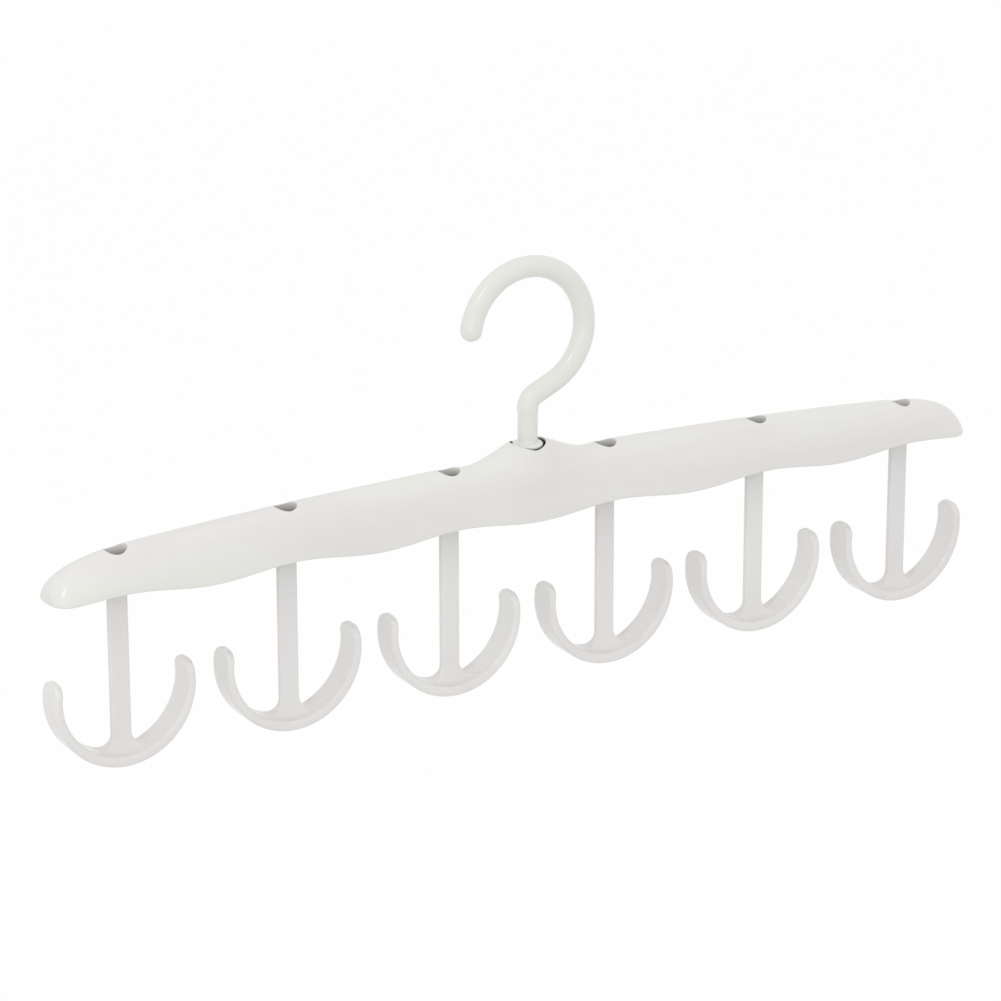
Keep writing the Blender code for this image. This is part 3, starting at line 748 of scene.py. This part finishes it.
def makeDoubleHooks():
    # the same hook at every place along the bar
    grids = doubleHookGrids()
    pieces = []
    for number, x in enumerate(hookPlaces, 1):
        moved = [(grid + np.array([x, 0, 0]), wrap, keep) for grid, wrap, keep in grids]
        pieces.append(buildPiece(f"doubleHook{number}", moved))
    return pieces


# The caps that hold the pegs and the rail hook

capSizes = {
    "stemCapGap": 0.0006, "stemCapHeight": 0.0030, "stemCapRoof": 0.0009,
    "railCapRadius": 0.0070, "railCapHeight": 0.0034, "railCapRoof": 0.0010,
    "edgeShare": 0.25, "lip": 0.00025, "roundSteps": 64, "cornerSteps": 6,
}


def capProfile(radius, height, bore, boreDepth, foot, sign):
    # (radius, height) pairs from the middle of the blind bore out round the rim and over the roof, whose
    # edge is a quarter circle
    edge, lip = height * capSizes["edgeShare"], capSizes["lip"]
    profile = [(0, boreDepth), (bore, boreDepth), (bore, boreDepth / 2), (bore, lip), (bore + lip, 0),
               (radius - lip, 0), (radius, lip), (radius, (height - edge) / 2)]
    for turn in quarterTurn * np.arange(capSizes["cornerSteps"] + 1) / capSizes["cornerSteps"]:
        profile.append((radius - edge + edge * math.cos(turn), height - edge + edge * math.sin(turn)))
    profile += [((radius - edge) / 2, height), (0, height)]
    return [(r, foot + sign * h) for r, h in profile]


def makeCaps():
    # a profile turned about each peg, and one turned upside down about the rail hook's neck
    turn = fullTurn * np.arange(capSizes["roundSteps"]) / capSizes["roundSteps"]
    stemCap = capProfile(barSizes["holeRadius"] - capSizes["stemCapGap"], capSizes["stemCapHeight"],
                         doubleHook["pegNeck"] + gap, capSizes["stemCapHeight"] - capSizes["stemCapRoof"],
                         bearingTopZ + gap, 1)
    railCap = capProfile(capSizes["railCapRadius"], capSizes["railCapHeight"], railHook["neckRadius"] + gap,
                         capSizes["railCapHeight"] - capSizes["railCapRoof"], socketUnderZ - gap, -1)
    caps = [buildPiece(f"stemCap{number}", [(turnedGrid(stemCap, turn, x), True, None)])
            for number, x in enumerate(hookPlaces, 1)]
    return caps, buildPiece("railHookCap", [(turnedGrid(railCap, turn), True, None)])


# Materials

class Value:
    # wraps a socket, so that sums and products of values read as they are
    def __init__(self, tree, socket):    # the socket and the node tree that it is in
        self.tree = tree
        self.socket = socket

    def math(self, operation, first, second):    # one Math node: first, operation, second
        return addNode(self.tree, "ShaderNodeMath", {"operation": operation}, {0: first, 1: second})

    def __add__(self, other):    # value + other
        return self.math("ADD", self, other)

    def __radd__(self, other):    # other + value
        return self.math("ADD", other, self)

    def __sub__(self, other):    # value - other
        return self.math("SUBTRACT", self, other)

    def __rsub__(self, other):    # other - value
        return self.math("SUBTRACT", other, self)

    def __mul__(self, other):    # value * other
        return self.math("MULTIPLY", self, other)

    def __rmul__(self, other):    # other * value
        return self.math("MULTIPLY", other, self)


def addNode(tree, kind, settings, inputs, output=0):
    # one node: its settings first, then the values or links of its sockets
    node = tree.nodes.new(kind)
    for name, setting in settings.items():
        setattr(node, name, setting)
    for name, given in inputs.items():
        socket = node.inputs[name]
        if isinstance(given, Value):
            tree.links.new(given.socket, socket)
        else:
            socket.default_value = given
    return Value(tree, node.outputs[output])


def noise(tree, place, scale, detail=2.0, roughness=0.5):
    # fractal noise of about 0.5, scale features to the metre
    return addNode(tree, "ShaderNodeTexNoise", {}, {"Vector": place, "Scale": scale, "Detail": detail,
                                                    "Roughness": roughness}, "Fac")


def between(value, low, high):
    # zero at low, one at high, smooth between
    return addNode(value.tree, "ShaderNodeMapRange", {"interpolation_type": "SMOOTHSTEP"},
                   {"Value": value, "From Min": low, "From Max": high, "To Min": 0.0, "To Max": 1.0})


def mixColours(factor, first, second):
    # first * (1 - factor) + second * factor
    return addNode(factor.tree, "ShaderNodeMix", {"data_type": "RGBA"}, {0: factor, 6: first, 7: second}, 2)


# one for each kind of piece; flow stretches the moulding's flow lines along X, Y and Z
finishes = {
    "bar": {"colour": (0.796, 0.794, 0.756), "shade": (0.770, 0.750, 0.736), "edge": (0.815, 0.815, 0.785),
            "rough": 0.20, "grain": 0.07, "flow": (5.0, 60.0, 60.0), "slot": "bar_plastic"},
    "railHook": {"colour": (0.790, 0.790, 0.752), "shade": (0.772, 0.768, 0.732),
                 "edge": (0.815, 0.815, 0.785), "rough": 0.16, "grain": 0.05, "flow": (30.0, 30.0, 30.0),
                 "slot": "rail_hook_plastic"},
    "doubleHook": {"colour": (0.802, 0.796, 0.770), "shade": (0.770, 0.746, 0.736),
                   "edge": (0.826, 0.822, 0.800), "rough": 0.17, "grain": 0.06, "flow": (40.0, 40.0, 12.0),
                   "slot": "double_hook_plastic"},
    "cap": {"colour": (0.700, 0.700, 0.675), "shade": (0.670, 0.664, 0.640), "edge": (0.740, 0.740, 0.720),
            "rough": 0.48, "grain": 0.12, "flow": (40.0, 40.0, 40.0), "slot": "cap_plastic"},
}
# what the plastics share: scales are features to the metre, pairs are where an effect starts and is full
plastic = {
    "cloudScale": 14.0, "flowShare": 0.6, "tone": (0.36, 0.64),
    "edgeTurn": (260.0, 900.0), "wearScale": 110.0, "wearPatches": (0.30, 0.75), "wearColour": 0.8,
    # painted shade: the depths where the darkening starts and is full, its most, and the near black it
    # darkens to
    "paintedShadeDepth": (0.0004, 0.0072), "paintedShadeMost": 0.95, "paintedShadeColour": (0.06, 0.06, 0.058),
    "scratchScale": (60.0, 900.0, 500.0), "scratchTurn": (0.3, 0.5, 0.7), "scratch": (0.66, 0.74),
    "handledScale": 38.0, "handled": (0.42, 0.70), "fineScale": 900.0, "peelScale": 420.0,
    "scratchRough": 0.10, "wearRough": 0.05, "fineRough": 0.03,
    "peelHeight": 0.7, "fineHeight": 0.1, "scratchDepth": 0.2, "bump": 0.05, "bumpDistance": 0.00004,
    "refraction": 1.49,
}


def makePlastic(name):
    # colour = shade to colour by flow lines and clouds, paler where an edge is worn, with painted shade
    # darker deep in a hole or gap;
    # roughness = a level + handling + scratches + wear + grain; bump = orange peel + grain - scratches
    finish = finishes[name]
    material = bpy.data.materials.new(name + "Plastic")
    material.use_nodes = True
    tree = material.node_tree
    shader = tree.nodes["Principled BSDF"]
    place = addNode(tree, "ShaderNodeTexCoord", {}, {}, "Object")
    stretched = addNode(tree, "ShaderNodeMapping", {}, {"Vector": place, "Scale": finish["flow"]})
    flow = noise(tree, stretched, 1.0, detail=4.0, roughness=0.55)
    cloud = noise(tree, place, plastic["cloudScale"], detail=3.0)
    turn = addNode(tree, "ShaderNodeAttribute", {"attribute_name": "edgeTurn"}, {}, "Fac")
    fine = noise(tree, place, plastic["fineScale"])
    patches = between(noise(tree, place, plastic["wearScale"]), *plastic["wearPatches"])
    wear = between(turn, *plastic["edgeTurn"]) * patches
    tone = between(flow * plastic["flowShare"] + cloud * (1 - plastic["flowShare"]), *plastic["tone"])
    base = mixColours(tone, (*finish["shade"], 1), (*finish["colour"], 1))
    worn = mixColours(wear * plastic["wearColour"], base, (*finish["edge"], 1))
    # painted shade: the colour darkens towards near black at the bottom of a hole or gap, in place of the
    # shade that falls there
    paintedShadeDepth = addNode(tree, "ShaderNodeAttribute", {"attribute_name": "paintedShadeDepth"}, {}, "Fac")
    paintedShadeAmount = between(paintedShadeDepth, *plastic["paintedShadeDepth"]) * plastic["paintedShadeMost"]
    withPaintedShade = mixColours(paintedShadeAmount, worn, (*plastic["paintedShadeColour"], 1))
    tree.links.new(withPaintedShade.socket, shader.inputs["Base Color"])

    scratchPlace = addNode(tree, "ShaderNodeMapping", {}, {"Vector": place, "Scale": plastic["scratchScale"],
                                                           "Rotation": plastic["scratchTurn"]})
    lines = noise(tree, scratchPlace, 1.0, detail=3.0, roughness=0.6)
    scratch = between(lines, *plastic["scratch"])
    touched = noise(tree, place, plastic["handledScale"], detail=4.0, roughness=0.6)
    handled = between(touched, *plastic["handled"])
    rough = finish["rough"] + finish["grain"] * handled + plastic["scratchRough"] * scratch
    rough = rough + plastic["wearRough"] * wear + plastic["fineRough"] * (fine - 0.5)
    tree.links.new(rough.socket, shader.inputs["Roughness"])

    peel = noise(tree, place, plastic["peelScale"])
    height = plastic["peelHeight"] * peel + plastic["fineHeight"] * fine - plastic["scratchDepth"] * scratch
    bump = addNode(tree, "ShaderNodeBump", {}, {"Height": height, "Strength": plastic["bump"],
                                                "Distance": plastic["bumpDistance"]})
    tree.links.new(bump.socket, shader.inputs["Normal"])
    shader.inputs["IOR"].default_value = plastic["refraction"]
    return material


# painted shade: these finishes darken towards the bottom of holes and gaps
paintedShadeFinishes = {"bar": barPaintedShadeDepth, "railHook": collarPaintedShadeDepth}    # the finishes that darken in holes or gaps


def dress(piece, finish, body, *nodes):
    # gives a piece its material and attributes, and puts it on its body in the place of its CAD nodes
    piece.data.materials.clear()
    piece.data.materials.append(plastics[finish])
    markEdges(piece)
    # the depths that set the painted shade in holes and gaps
    if finish in paintedShadeFinishes:
        markPaintedShadeDepth(piece, paintedShadeFinishes[finish])
    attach(piece, body)
    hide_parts(*nodes)


# Light and stage

lamps = {
    "keyHigh": {"place": (-1.02, -0.51, 1.02), "size": (0.10, 0.55), "power": 1.9},
    "keyLow": {"place": (-1.08, -1.17, -0.08), "size": (0.10, 0.50), "power": 1.1},
    "sideFill": {"place": (-1.9, 0.1, 0.1), "size": (1.4, 1.4), "power": 0.1},
}
light = {"aim": (0, 0, -0.08), "world": 0.96}


def makeLight():
    # rectangular lamps that face the hanger's middle, and an even white world
    for name, lamp in lamps.items():
        data = bpy.data.lights.new(name, "AREA")
        data.shape = "RECTANGLE"
        data.size, data.size_y = lamp["size"]
        data.energy = lamp["power"]
        holder = addObject(name, data)
        holder.location = lamp["place"]
        direction = Vector(light["aim"]) - Vector(lamp["place"])
        holder.rotation_euler = direction.to_track_quat("-Z", "Y").to_euler()
    world = bpy.data.worlds.new("studio")
    world.use_nodes = True
    world.node_tree.nodes["Background"].inputs["Color"].default_value = (1, 1, 1, 1)
    world.node_tree.nodes["Background"].inputs["Strength"].default_value = light["world"]
    bpy.context.scene.world = world
    print("light set")


stage = {
    "floorDrop": 0.55, "floorHalf": 6.0, "wallBehind": 4.0, "wallHeight": 5.0, "bend": 1.2, "bendPoints": 24,
    "colour": (0.80, 0.80, 0.80), "rough": 0.9, "glow": 0.97,
}


def paleFloor():
    # a pale matt floor that camera, mirror and glass rays see as white: mix factor = glow * the largest of
    # the three ray flags
    material = bpy.data.materials.new("paleFloor")
    material.use_nodes = True
    tree = material.node_tree
    shader = tree.nodes["Principled BSDF"]
    shader.inputs["Base Color"].default_value = (*stage["colour"], 1)
    shader.inputs["Roughness"].default_value = stage["rough"]
    straight, mirrored, through = [addNode(tree, "ShaderNodeLightPath", {}, {}, ray) for ray in
                                   ("Is Camera Ray", "Is Glossy Ray", "Is Transmission Ray")]
    seen = straight.math("MAXIMUM", straight, mirrored.math("MAXIMUM", mirrored, through)) * stage["glow"]
    glow = addNode(tree, "ShaderNodeEmission", {}, {})
    mix = addNode(tree, "ShaderNodeMixShader", {}, {0: seen, 1: Value(tree, shader.outputs[0]), 2: glow})
    tree.links.new(mix.socket, tree.nodes["Material Output"].inputs["Surface"])
    return material


def makeStage():
    # a floor that bends up into a wall: a profile of straight, quarter circle and straight, carried sideways
    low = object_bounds()[0].z - stage["floorDrop"]
    bend, back = stage["bend"], stage["wallBehind"]
    turn = np.linspace(0, quarterTurn, stage["bendPoints"])
    y = np.concatenate([[-stage["floorHalf"]], back - bend + bend * np.sin(turn), [back]])
    z = np.concatenate([[low], low + bend * (1 - np.cos(turn)), [low + stage["wallHeight"]]])
    sides = (-stage["floorHalf"], stage["floorHalf"])
    grid = np.stack([np.stack([0 * y + side, y, z], axis=-1) for side in sides])
    faces = gridFaces(2, len(y), 0, False, None)[:, ::-1]
    mesh = bpy.data.meshes.new("floor")
    mesh.from_pydata(grid.reshape(-1, 3).tolist(), [], faces.tolist())
    mesh.shade_smooth()
    floor = addObject("floor", mesh)
    mesh.materials.append(paleFloor())
    print("stage set")


makeCamera()
plastics = {name: makePlastic(name) for name in finishes}
print("materials made:", ", ".join(plastics))

dress(makeBar(), "bar", "bar", "bar_shell")
dress(makeRailHook(), "railHook", "rail_hook", "rail_hook")
stemCaps, railCap = makeCaps()
dress(railCap, "cap", "rail_hook", "rail_hook_cap")
for number, (piece, cap) in enumerate(zip(makeDoubleHooks(), stemCaps), 1):
    body = f"double_hook_{number}"
    dress(piece, "doubleHook", body, f"double_hook_{number}")
    dress(cap, "cap", body, f"stem_cap_{number}")
print("pieces dressed")

makeLight()
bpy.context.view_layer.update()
makeStage()
